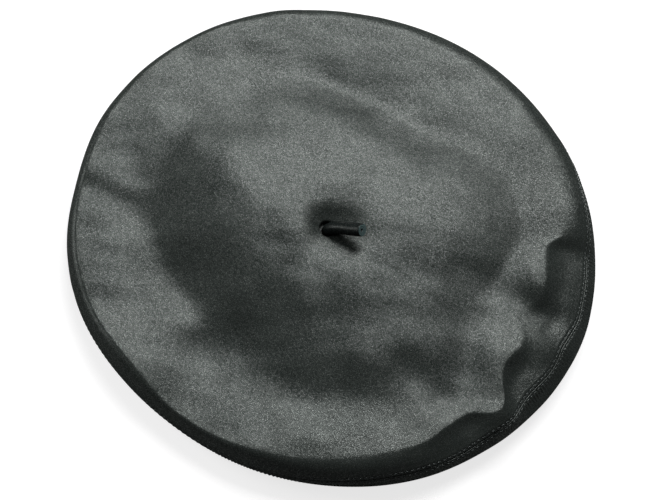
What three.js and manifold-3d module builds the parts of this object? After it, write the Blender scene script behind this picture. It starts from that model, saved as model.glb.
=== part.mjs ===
// A leather beret lying flat, as it rests on a table by itself. Millimetres, +Z up.
// The origin is the middle of what it rests on. Its crown is one soft disc that rolls over the rim to a seam,
// and the under panel carries on from that seam round the edge and along the table to the head opening.
import * as THREE from "three";
import { mergeVertices } from "three/addons/utils/BufferGeometryUtils.js";
import Module from "manifold-3d";

// Driving dimensions
const WALL = 1.5; // thickness of the leather
const GAP = 0.3; // between two pieces that are sewn together
const HEAD_RADIUS = 89.7; // inside of the head band, for a head of about 57 cm
const BAND_WALL = 1.5;
const BAND_HEIGHT = 12;
const OPENING_RADIUS = HEAD_RADIUS + BAND_WALL + GAP; // inner edge of the under panel
const UNDER_ROLL = 17; // how far the rim rolls in before the under panel lies flat
const CROWN_HEIGHT = 31; // top of the dome, before its dimple
const DENT_START = 0.12; // how soon a dent sets in past the crest, as a share of the way to the seam
const DENT_FALL = 2; // how it runs out towards the seam

// The stalk: a rolled leather stub in the middle of the crown, on a root sewn underneath it
const STALK_FOOT = new THREE.Vector2(-5.5, -5);
const STALK_RADIUS = 3.6;
const STALK_HOLE_RADIUS = 5.6;
const STALK_RISE = 3; // it leaves the crown upright for about this height, then leans over
const STALK_LEAN = new THREE.Vector3(17.5, -3, 14); // from its foot to the middle of its cut end
const STALK_SIDES = 14;
const STALK_STEPS = 9;
const ROOT_RADIUS = 8;
const ROOT_THICKNESS = 1.2;
const ROOT_SIDES = 24;

// Sections of the beret by angle in degrees, counter-clockwise from +X, seen from above.
// fill: how far out the dome stays full; valley: radius and height of the hollow ring round it;
// soft: how gently the dome turns into the rim's inner slope; puff: how full that slope is;
// crest: radius and height of the rim's top line; dent: depth of the hollow between crest and seam;
// slack: how far the rim's fall sags in, from 1 for a round one; reach: radius and height of its widest line;
// seam: where it lies on the roll, in degrees above that line.
const SECTION_COLUMNS =
  ["at", "fill", "valley", "valleyZ", "soft", "puff", "crest", "crestZ", "dent", "slack", "reach", "reachZ", "seam"];
const SECTIONS = [
  [0, 3.6, 90, 22.4, 2.6, 2.2, 112, 25.2, 2.8, 2.2, 141.5, 11.5, 38],
  [6, 3.9, 95, 22.5, 2.6, 2.0, 110.5, 25.2, 2.9, 2.2, 141.3, 11.5, 37],
  [11.5, 4.2, 98, 22.4, 2.6, 1.6, 111, 25.0, 2.4, 2.0, 141.2, 11.5, 37],
  [15, 4.4, 98, 22.2, 2.8, 1.3, 119, 24.7, 0.5, 1.4, 141.2, 11.8, 39],
  [22, 4.4, 100, 22.4, 2.9, 1.4, 123, 24.9, 0.0, 1.05, 141.2, 12.2, 40],
  [32, 4.0, 101, 22.4, 3.0, 1.6, 125, 25.0, 0.0, 1.0, 141.2, 12.5, 34],
  [45, 3.0, 94, 22.2, 3.0, 1.7, 126, 25.2, 0.0, 1.0, 141.5, 12.5, 0],
  [60, 2.6, 83, 21.2, 3.0, 1.7, 127, 25.2, 0.0, 1.0, 142.0, 12.5, -20],
  [75, 2.6, 80, 20.2, 2.8, 1.7, 128, 25.0, 0.0, 1.0, 141.9, 12.5, -35],
  [90, 2.5, 84, 19.2, 2.8, 1.6, 129, 24.6, 0.0, 1.0, 140.8, 12.5, -40],
  [105, 2.4, 91, 18.9, 2.8, 1.6, 130, 24.2, 0.0, 1.0, 140.6, 12.5, -40],
  [120, 2.3, 98, 19.6, 2.8, 1.5, 133, 23.8, 0.0, 1.0, 142.2, 12.0, -40],
  [137, 2.2, 100, 20.3, 2.8, 1.5, 135.5, 23.4, 0.0, 1.0, 142.0, 12.0, -40],
  [155, 2.5, 102, 21.2, 2.8, 1.4, 136.5, 23.0, 0.0, 1.0, 142.2, 11.5, -35],
  [170, 3.0, 98, 20.6, 2.8, 1.4, 136.5, 22.4, 0.0, 1.0, 142.2, 11.0, -35],
  [185, 2.7, 97, 18.2, 2.8, 1.3, 136, 21.6, 0.0, 1.0, 140.8, 10.5, -30],
  [200, 2.6, 93, 16.2, 3.0, 1.3, 137.5, 20.4, 0.0, 1.0, 142.4, 10.0, -25],
  [215, 2.3, 89, 14.8, 3.2, 1.2, 137.2, 18.6, 0.0, 1.0, 142.2, 9.0, -20],
  [232, 2.0, 87, 15.2, 3.8, 1.2, 134, 19.8, 0.0, 1.0, 140.0, 9.0, -10],
  [248, 1.8, 87, 13.8, 4.2, 1.2, 134.8, 16.8, 0.0, 1.0, 138.4, 7.8, 0],
  [268, 1.7, 92, 15.8, 4.2, 1.2, 133, 19.6, 0.0, 1.0, 139.6, 8.8, 10],
  [285, 1.7, 99, 18.0, 4.0, 1.3, 129.5, 22.0, 0.0, 1.1, 140.4, 10.0, 22],
  [296, 1.8, 104, 19.8, 3.6, 1.2, 128, 22.8, 0.2, 1.2, 141.0, 10.4, 30],
  [304, 1.9, 108, 20.0, 3.0, 1.2, 127, 22.8, 0.9, 1.5, 141.1, 10.5, 33],
  [311, 2.0, 111, 19.9, 2.6, 1.3, 123, 22.7, 1.8, 1.8, 140.8, 10.5, 34],
  [317, 2.1, 110, 19.9, 2.4, 1.4, 122, 22.8, 1.6, 1.8, 140.6, 10.5, 38],
  [322, 2.2, 105, 20.2, 2.4, 1.4, 129, 23.0, 0.5, 1.6, 140.8, 10.5, 46],
  [325.5, 2.3, 101, 20.5, 2.4, 1.5, 128, 23.2, 0.8, 1.7, 140.8, 10.5, 46],
  [329, 2.4, 97, 20.7, 2.4, 1.7, 119, 23.6, 2.8, 2.1, 140.8, 10.5, 45],
  [332, 2.5, 94, 20.9, 2.4, 1.8, 114.5, 23.9, 3.3, 2.2, 140.9, 10.5, 45],
  [336, 2.6, 91, 21.2, 2.4, 1.8, 113.5, 24.2, 3.4, 2.2, 141.2, 10.6, 44],
  [340, 2.8, 88, 21.5, 2.6, 1.7, 114, 24.0, 2.4, 2.1, 141.3, 10.8, 42],
  [343.5, 2.9, 85, 21.8, 2.6, 1.6, 111, 23.7, 0.8, 1.8, 141.4, 10.9, 41],
  [347, 3.0, 84, 22.1, 2.6, 1.6, 105, 23.5, 0.0, 1.4, 141.6, 11.0, 40],
  [351, 3.2, 85, 22.2, 2.6, 1.8, 107, 24.1, 0.6, 1.6, 141.8, 11.1, 39],
  [355, 3.4, 87, 22.3, 2.6, 2.1, 111.5, 24.9, 2.2, 2.0, 141.9, 11.2, 38],
];

// Folds of the soft leather: each runs along a quadratic curve, and its depth (down) changes from end to end.
// left and right are its half widths on either side of the way it runs.
const FOLDS = [
  { name: "left rim dent", path: [-142, -17, -124, -18, -104, -22], depth: [1.3, 0.8], left: 7, right: 9 },
  { name: "long valley", path: [68, -9, 92, -9, 120, -19], depth: [0.8, 2.8], left: 9, right: 10 },
  { name: "ridge's end", path: [100, 12, 105, 6, 109, -2], depth: [-0.5, -1.0], left: 5, right: 6 },
  { name: "lower valley", path: [54, -68, 70, -77, 90, -87], depth: [0.8, 1.6], left: 9, right: 8 },
  { name: "dimple", path: [-6, -4, -4, -2, -1, -1], depth: [2.2, 2.0], left: 9, right: 8 },
  { name: "dimple's far slope", path: [-7, 3, -8, 10, -11, 20], depth: [1.5, 1.0], left: 17, right: 17 },
  { name: "dimple's crease", path: [-7, -7, -8, -17, -8, -30], depth: [2.0, 0.4], left: 19, right: 7 },
  { name: "slope under the stalk", path: [6, -14, 16, -19, 34, -26], depth: [0.9, 0.6], left: 22, right: 34 },
  { name: "soft ridge", path: [-104, 30, -84, 20, -60, 8], depth: [-1.0, -0.8], left: 14, right: 12 },
];
const FOLD_SAMPLES = 24;

// How finely the panels are divided: degrees round the rim, finer along the dented side, and shares outwards
const DIVISIONS_AROUND = [
  { from: 24, to: 294, step: 5 },
  { from: 294, to: 384, step: 3 },
];
const CROWN_SHARES = [0, 0.04, 0.09, 0.17, 0.29, 0.42, 0.54, 0.64, 0.73, 0.81, 0.9, 1];
const ROLL_SHARES = [0.14, 0.32, 0.52, 0.76, 1];
const UNDER_SHARES = [0, 0.16, 0.32, 0.48, 0.64, 0.82, 1];
const TABLE_SHARES = [0.5, 1];
const BAND_SIDES = 72;
const NORMAL_STEP = 0.01;
const TINY = 1e-6; // keeps a distance above nought

// Colours and finishes
const LEATHER = { color: 0x1c1f1e, roughness: 0.48, metalness: 0 };
const BAND_LEATHER = { color: 0x171918, roughness: 0.6, metalness: 0 };
const ROLLED_LEATHER = { color: 0x151817, roughness: 0.42, metalness: 0 };

const RIGHT_ANGLE = Math.PI / 2;
const wrap = (degrees) => ((degrees % 360) + 360) % 360;
const mix = (a, b, t) => a + (b - a) * t;

// The section at an angle: a smooth periodic curve through each column of the table.
function sectionAt(degrees) {
  const count = SECTIONS.length;
  const angle = wrap(degrees);
  let row = count - 1;
  while (row > 0 && SECTIONS[row][0] > angle) row -= 1;
  if (SECTIONS[row][0] > angle) row = count - 1;
  const rows = [-1, 0, 1, 2].map((offset) => SECTIONS[(row + offset + count) % count]);
  const spans = [0, 1, 2].map((i) => wrap(rows[i + 1][0] - rows[i][0]));
  const t = wrap(angle - rows[1][0]) / spans[1];
  const section = {};
  SECTION_COLUMNS.forEach((column, c) => {
    const [before, start, end, after] = rows.map((values) => values[c]);
    const slopeIn = ((end - before) / (spans[0] + spans[1])) * spans[1];
    const slopeOut = ((after - start) / (spans[1] + spans[2])) * spans[1];
    const cubic = 2 * t ** 3 - 3 * t ** 2;
    section[column] =
      (cubic + 1) * start + (t ** 3 - 2 * t ** 2 + t) * slopeIn - cubic * end + (t ** 3 - t ** 2) * slopeOut;
  });
  return section;
}

// Height of the crown at a radius out to the crest: the dome, the valley round it and the rim's inner slope.
function crownHeight(section, radius) {
  const dome = mix(CROWN_HEIGHT, section.valleyZ, (radius / section.valley) ** section.fill);
  const climb = Math.min((radius - section.valley) / (section.crest - section.valley), 1);
  const slope = mix(section.valleyZ, section.crestZ, 1 - (1 - climb) ** section.puff);
  return (dome + slope + Math.hypot(dome - slope, section.soft)) / 2;
}

// A point of the rim's roll: turn goes from 90 degrees at the crest, through 0 at the widest line, to -90 underneath.
function rollPoint(section, turn) {
  if (turn < 0)
    return {
      radius: section.reach - UNDER_ROLL * (1 - Math.cos(turn)),
      height: section.reachZ * (1 + Math.sin(turn)),
    };
  const rise = crownHeight(section, section.crest) - section.reachZ;
  return {
    radius: section.crest + (section.reach - section.crest) * Math.cos(turn),
    height: section.reachZ + rise * Math.sin(turn) ** section.slack,
  };
}

// How deep all the folds together are at a place.
const foldCurves = FOLDS.map(({ path, ...fold }) => {
  const [x0, y0, x1, y1, x2, y2] = path;
  const corners = [new THREE.Vector2(x0, y0), new THREE.Vector2(x1, y1), new THREE.Vector2(x2, y2)];
  const curve = new THREE.QuadraticBezierCurve(...corners);
  const samples = Array.from({ length: FOLD_SAMPLES + 1 }, (_, i) => ({
    share: i / FOLD_SAMPLES,
    point: curve.getPoint(i / FOLD_SAMPLES),
    tangent: curve.getTangent(i / FOLD_SAMPLES),
  }));
  return { ...fold, samples };
});

function foldDepth(x, y) {
  let total = 0;
  for (const { depth, left, right, samples } of foldCurves) {
    const distanceTo = ({ point }) => Math.hypot(x - point.x, y - point.y);
    const nearest = samples.reduce((best, sample) => (distanceTo(sample) < distanceTo(best) ? sample : best));
    const { point, tangent, share } = nearest;
    const side = tangent.x * (y - point.y) - tangent.y * (x - point.x);
    const distance = Math.max(distanceTo(nearest), TINY);
    const width = mix(right, left, 0.5 + (0.5 * side) / distance);
    total += mix(depth[0], depth[1], share) * Math.exp(-((distance / width) ** 2));
  }
  return total;
}

// Places a radius and height at an angle, sunk by the folds as far as the surface there faces up.
function placed(degrees, radius, height, shift, upward) {
  const angle = THREE.MathUtils.degToRad(degrees);
  const x = radius * Math.cos(angle) + STALK_FOOT.x * shift;
  const y = radius * Math.sin(angle) + STALK_FOOT.y * shift;
  return new THREE.Vector3(x, y, height - foldDepth(x, y) * upward);
}

// Outside of the top panel: share 0 to 1 goes from the stalk's hole to the crest, 1 to 2 over the roll to the seam.
function topSurface(degrees, share) {
  const section = sectionAt(degrees);
  if (share <= 1) {
    const radius = mix(STALK_HOLE_RADIUS, section.crest, share);
    return placed(degrees, radius, crownHeight(section, radius), 1 - share, 1);
  }
  const across = share - 1;
  const turn = mix(RIGHT_ANGLE, THREE.MathUtils.degToRad(section.seam), across);
  const { radius, height } = rollPoint(section, turn);
  const deepest = 1 / (1 + DENT_FALL);
  const hollow = (across * (1 - across) ** DENT_FALL) / (deepest * (1 - deepest) ** DENT_FALL);
  const dent = section.dent * hollow * (1 - Math.exp(-across / DENT_START));
  return placed(degrees, radius, height - dent, 0, Math.max(Math.sin(turn), 0));
}

// Outside of the under panel: share 0 to 1 goes from the seam round the roll, 1 to 2 along the table to the opening.
function underSurface(degrees, share) {
  const section = sectionAt(degrees);
  const start = THREE.MathUtils.degToRad(section.seam) - GAP / section.reachZ;
  const turn = mix(start, -RIGHT_ANGLE, Math.min(share, 1));
  const { radius, height } = rollPoint(section, turn);
  const along = Math.max(share - 1, 0);
  return placed(degrees, mix(radius, OPENING_RADIUS, along), height, 0, Math.max(Math.sin(turn), 0));
}

// The outward normal of a surface, from two short steps along it.
function outward(surface, degrees, share) {
  const low = Math.max(share - NORMAL_STEP, 0);
  const high = Math.min(share + NORMAL_STEP, 2);
  const along = surface(degrees, high).sub(surface(degrees, low));
  const around = surface(degrees + 1, share).sub(surface(degrees - 1, share));
  return along.cross(around).normalize();
}

// A closed wall of leather: the outside as given, the inside one thickness in, and an edge at both ends.
function leatherWall(surface, shares, angles) {
  const rings = shares.length;
  const sides = angles.length;
  const outside = [];
  const inside = [];
  for (const share of shares)
    for (const degrees of angles) {
      const point = surface(degrees, share);
      outside.push(...point);
      inside.push(...point.addScaledVector(outward(surface, degrees, share), -WALL));
    }
  const layer = rings * sides;
  const index = [];
  const quad = (a, b, c, d) => index.push(a, b, c, a, c, d);
  for (let side = 0; side < sides; side += 1) {
    const next = (side + 1) % sides;
    for (let ring = 0; ring < rings - 1; ring += 1) {
      const here = ring * sides;
      const beyond = here + sides;
      quad(here + side, beyond + side, beyond + next, here + next);
      quad(layer + here + next, layer + beyond + next, layer + beyond + side, layer + here + side);
    }
    const last = (rings - 1) * sides;
    quad(side, next, layer + next, layer + side);
    quad(last + next, last + side, layer + last + side, layer + last + next);
  }
  const geometry = new THREE.BufferGeometry();
  geometry.setAttribute("position", new THREE.Float32BufferAttribute([...outside, ...inside], 3));
  geometry.setIndex(index);
  return geometry;
}

function headBand() {
  const outer = HEAD_RADIUS + BAND_WALL;
  const corners = [
    [HEAD_RADIUS, 0],
    [outer, 0],
    [outer, BAND_HEIGHT],
    [HEAD_RADIUS, BAND_HEIGHT],
    [HEAD_RADIUS, 0],
  ];
  const profile = corners.map(([radius, height]) => new THREE.Vector2(radius, height));
  return new THREE.LatheGeometry(profile, BAND_SIDES).rotateX(RIGHT_ANGLE);
}

const wasm = await Module();
wasm.setup();

function solid(geometry) {
  const bare = geometry.clone();
  bare.deleteAttribute("normal");
  bare.deleteAttribute("uv");
  const merged = mergeVertices(bare);
  return new wasm.Manifold(
    new wasm.Mesh({
      numProp: 3,
      vertProperties: merged.attributes.position.array,
      triVerts: new Uint32Array(merged.index.array),
    }),
  );
}

function geometryOf(body) {
  const mesh = body.getMesh();
  const geometry = new THREE.BufferGeometry();
  geometry.setAttribute("position", new THREE.BufferAttribute(mesh.vertProperties, 3));
  geometry.setIndex(new THREE.BufferAttribute(mesh.triVerts, 1));
  return geometry;
}

// The stalk stands through the crown's hole, with its root flat against the inside.
function stalk(angles) {
  const edge = angles.map((degrees) => topSurface(degrees, 0).z);
  const lowest = Math.min(...edge);
  const highest = Math.max(...edge);
  const foot = new THREE.Vector3(STALK_FOOT.x, STALK_FOOT.y, lowest - WALL - GAP - ROOT_THICKNESS);
  const tip = new THREE.Vector3(STALK_FOOT.x, STALK_FOOT.y, lowest).add(STALK_LEAN);
  const lean = STALK_LEAN.clone().normalize();
  const upright = foot.clone().setZ(highest + STALK_RISE);
  const slanting = tip.clone().addScaledVector(lean, -STALK_LEAN.length() / 2);
  const route = new THREE.CubicBezierCurve3(foot, upright, slanting, tip);
  const round = new THREE.Shape().absarc(0, 0, STALK_RADIUS, 0, 2 * Math.PI);
  const shank = new THREE.ExtrudeGeometry(round, {
    extrudePath: route,
    steps: STALK_STEPS,
    curveSegments: STALK_SIDES,
  });
  const root = new THREE.CylinderGeometry(ROOT_RADIUS, ROOT_RADIUS, ROOT_THICKNESS, ROOT_SIDES);
  root.rotateX(RIGHT_ANGLE).translate(foot.x, foot.y, foot.z);
  return geometryOf(solid(shank).add(solid(root)));
}

function piece(name, geometry, finish) {
  const mesh = new THREE.Mesh(geometry, new THREE.MeshStandardMaterial(finish));
  mesh.name = name;
  return mesh;
}

const angles = DIVISIONS_AROUND.flatMap(({ from, to, step }) =>
  Array.from({ length: (to - from) / step }, (_, i) => from + i * step),
);
const topShares = [...CROWN_SHARES, ...ROLL_SHARES.map((share) => 1 + share)];
const underShares = [...UNDER_SHARES, ...TABLE_SHARES.map((share) => 1 + share)];

const beret = new THREE.Group();
beret.add(
  piece("top_panel", leatherWall(topSurface, topShares, angles), LEATHER),
  piece("under_panel", leatherWall(underSurface, underShares, angles), LEATHER),
  piece("head_band", headBand(), BAND_LEATHER),
  piece("stalk", stalk(angles), ROLLED_LEATHER),
);

export default beret;
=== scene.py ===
"""A leather beret lying flat with its crown up, dressed with its leather, seam, stitches and stalk."""

import logging
import math
from dataclasses import dataclass, field
from enum import Enum

import bpy
import numpy as np
from mathutils import Matrix, Vector

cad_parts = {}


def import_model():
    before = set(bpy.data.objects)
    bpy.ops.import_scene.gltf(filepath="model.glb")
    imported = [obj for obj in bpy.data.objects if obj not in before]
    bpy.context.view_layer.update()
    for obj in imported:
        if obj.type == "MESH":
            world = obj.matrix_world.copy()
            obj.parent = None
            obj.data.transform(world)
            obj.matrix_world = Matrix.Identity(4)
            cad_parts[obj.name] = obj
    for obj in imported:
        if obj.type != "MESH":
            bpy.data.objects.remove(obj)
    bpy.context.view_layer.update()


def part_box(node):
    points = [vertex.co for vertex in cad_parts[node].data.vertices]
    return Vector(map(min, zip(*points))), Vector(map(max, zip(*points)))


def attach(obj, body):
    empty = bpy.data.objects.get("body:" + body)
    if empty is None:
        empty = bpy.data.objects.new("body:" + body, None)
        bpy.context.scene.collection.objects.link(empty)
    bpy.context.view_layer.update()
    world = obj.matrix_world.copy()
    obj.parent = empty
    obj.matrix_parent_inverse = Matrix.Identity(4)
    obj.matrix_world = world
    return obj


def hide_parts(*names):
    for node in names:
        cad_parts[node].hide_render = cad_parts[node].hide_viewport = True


LOG = logging.getLogger("beret")
MM = 0.001
TINY = 1e-9
FULL_TURN = 2 * math.pi
FAR_FROM_SEAM = 99.0
WALL = 1.5
BODY = "root"
Array = np.ndarray
Material = bpy.types.Material
Mesh = bpy.types.Mesh
Node = bpy.types.Node
Socket = bpy.types.NodeSocket
Shader = bpy.types.ShaderNodeTree
Colour = tuple[float, float, float]
Face = tuple[int, ...]
Pair = tuple[float, float]
Wave = tuple[float, float, float]

# Sections of the beret by angle in degrees, counter-clockwise from +X, in millimetres, as in the solids.
# fill: how far out the dome stays full; valley: radius and height of the hollow ring round it;
# soft: how gently the dome turns into the rim's inner slope; puff: how full that slope is;
# crest: radius and height of the rim's top line; dent: depth of the hollow between crest and seam;
# slack: how far the rim's fall sags in, from 1 for a round one; reach: radius and height of the widest line;
# seam: where it lies on the roll, in degrees above that line.
SECTION_COLUMNS = (
    "at", "fill", "valley", "valley_z", "soft", "puff", "crest", "crest_z", "dent", "slack",
    "reach", "reach_z", "seam",
)
SECTIONS = (
    (0, 3.6, 90, 22.4, 2.6, 2.2, 112, 25.2, 2.8, 2.2, 141.5, 11.5, 38),
    (6, 3.9, 95, 22.5, 2.6, 2.0, 110.5, 25.2, 2.9, 2.2, 141.3, 11.5, 37),
    (11.5, 4.2, 98, 22.4, 2.6, 1.6, 111, 25.0, 2.4, 2.0, 141.2, 11.5, 37),
    (15, 4.4, 98, 22.2, 2.8, 1.3, 119, 24.7, 0.5, 1.4, 141.2, 11.8, 39),
    (22, 4.4, 100, 22.4, 2.9, 1.4, 123, 24.9, 0.0, 1.05, 141.2, 12.2, 40),
    (32, 4.0, 101, 22.4, 3.0, 1.6, 125, 25.0, 0.0, 1.0, 141.2, 12.5, 34),
    (45, 3.0, 94, 22.2, 3.0, 1.7, 126, 25.2, 0.0, 1.0, 141.5, 12.5, 0),
    (60, 2.6, 83, 21.2, 3.0, 1.7, 127, 25.2, 0.0, 1.0, 142.0, 12.5, -20),
    (75, 2.6, 80, 20.2, 2.8, 1.7, 128, 25.0, 0.0, 1.0, 141.9, 12.5, -35),
    (90, 2.5, 84, 19.2, 2.8, 1.6, 129, 24.6, 0.0, 1.0, 140.8, 12.5, -40),
    (105, 2.4, 91, 18.9, 2.8, 1.6, 130, 24.2, 0.0, 1.0, 140.6, 12.5, -40),
    (120, 2.3, 98, 19.6, 2.8, 1.5, 133, 23.8, 0.0, 1.0, 142.2, 12.0, -40),
    (137, 2.2, 100, 20.3, 2.8, 1.5, 135.5, 23.4, 0.0, 1.0, 142.0, 12.0, -40),
    (155, 2.5, 102, 21.2, 2.8, 1.4, 136.5, 23.0, 0.0, 1.0, 142.2, 11.5, -35),
    (170, 3.0, 98, 20.6, 2.8, 1.4, 136.5, 22.4, 0.0, 1.0, 142.2, 11.0, -35),
    (185, 2.7, 97, 18.2, 2.8, 1.3, 136, 21.6, 0.0, 1.0, 140.8, 10.5, -30),
    (200, 2.6, 93, 16.2, 3.0, 1.3, 137.5, 20.4, 0.0, 1.0, 142.4, 10.0, -25),
    (215, 2.3, 89, 14.8, 3.2, 1.2, 137.2, 18.6, 0.0, 1.0, 142.2, 9.0, -20),
    (232, 2.0, 87, 15.2, 3.8, 1.2, 134, 19.8, 0.0, 1.0, 140.0, 9.0, -10),
    (248, 1.8, 87, 13.8, 4.2, 1.2, 134.8, 16.8, 0.0, 1.0, 138.4, 7.8, 0),
    (268, 1.7, 92, 15.8, 4.2, 1.2, 133, 19.6, 0.0, 1.0, 139.6, 8.8, 10),
    (285, 1.7, 99, 18.0, 4.0, 1.3, 129.5, 22.0, 0.0, 1.1, 140.4, 10.0, 22),
    (296, 1.8, 104, 19.8, 3.6, 1.2, 128, 22.8, 0.2, 1.2, 141.0, 10.4, 30),
    (304, 1.9, 108, 20.0, 3.0, 1.2, 127, 22.8, 0.9, 1.5, 141.1, 10.5, 33),
    (311, 2.0, 111, 19.9, 2.6, 1.3, 123, 22.7, 1.8, 1.8, 140.8, 10.5, 34),
    (317, 2.1, 110, 19.9, 2.4, 1.4, 122, 22.8, 1.6, 1.8, 140.6, 10.5, 38),
    (322, 2.2, 105, 20.2, 2.4, 1.4, 129, 23.0, 0.5, 1.6, 140.8, 10.5, 46),
    (325.5, 2.3, 101, 20.5, 2.4, 1.5, 128, 23.2, 0.8, 1.7, 140.8, 10.5, 46),
    (329, 2.4, 97, 20.7, 2.4, 1.7, 119, 23.6, 2.8, 2.1, 140.8, 10.5, 45),
    (332, 2.5, 94, 20.9, 2.4, 1.8, 114.5, 23.9, 3.3, 2.2, 140.9, 10.5, 45),
    (336, 2.6, 91, 21.2, 2.4, 1.8, 113.5, 24.2, 3.4, 2.2, 141.2, 10.6, 44),
    (340, 2.8, 88, 21.5, 2.6, 1.7, 114, 24.0, 2.4, 2.1, 141.3, 10.8, 42),
    (343.5, 2.9, 85, 21.8, 2.6, 1.6, 111, 23.7, 0.8, 1.8, 141.4, 10.9, 41),
    (347, 3.0, 84, 22.1, 2.6, 1.6, 105, 23.5, 0.0, 1.4, 141.6, 11.0, 40),
    (351, 3.2, 85, 22.2, 2.6, 1.8, 107, 24.1, 0.6, 1.6, 141.8, 11.1, 39),
    (355, 3.4, 87, 22.3, 2.6, 2.1, 111.5, 24.9, 2.2, 2.0, 141.9, 11.2, 38),
)


@dataclass(frozen=True)
class Fold:
    """A fold of the soft leather along a quadratic curve, in millimetres: sunk, or raised below nought."""

    name: str
    path: tuple[float, float, float, float, float, float]
    depth: Pair
    left: float
    right: float


FOLDS = (
    Fold("left rim dent", (-142, -17, -124, -18, -104, -22), (1.3, 0.8), 7, 9),
    Fold("long valley", (68, -9, 92, -9, 120, -19), (0.8, 2.8), 9, 10),
    Fold("ridge's end", (100, 12, 105, 6, 109, -2), (-0.5, -1.0), 5, 6),
    Fold("lower valley", (54, -68, 70, -77, 90, -87), (0.8, 1.6), 9, 8),
    Fold("dimple", (-6, -4, -4, -2, -1, -1), (2.2, 2.0), 9, 8),
    Fold("dimple's far slope", (-7, 3, -8, 10, -11, 20), (1.5, 1.0), 17, 17),
    Fold("dimple's crease", (-7, -7, -8, -17, -8, -30), (2.0, 0.4), 19, 7),
    Fold("slope under the stalk", (6, -14, 16, -19, 34, -26), (0.9, 0.6), 22, 34),
    Fold("soft ridge", (-104, 30, -84, 20, -60, 8), (-1.0, -0.8), 14, 12),
)


class Side(Enum):
    """Which of its piece's materials a face has: the grain side's, or that of the flesh side and the cuts."""

    GRAIN = 0
    FLESH = 1


def mix(a: Array | float, b: Array | float, share: Array | float) -> Array | float:
    """Returns the value a share of the way from a to b."""
    return a + (b - a) * share


def ripple(angle: Array, waves: tuple[Wave, ...]) -> Array:
    """Adds up waves round a circle, each given by its height, how many there are and its phase."""
    return sum(height * np.sin(count * angle + phase) for height, count, phase in waves)


def round_steps(count: int) -> Array:
    """Returns equal steps of a full turn, in degrees."""
    return np.arange(count) * 360.0 / count


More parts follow.
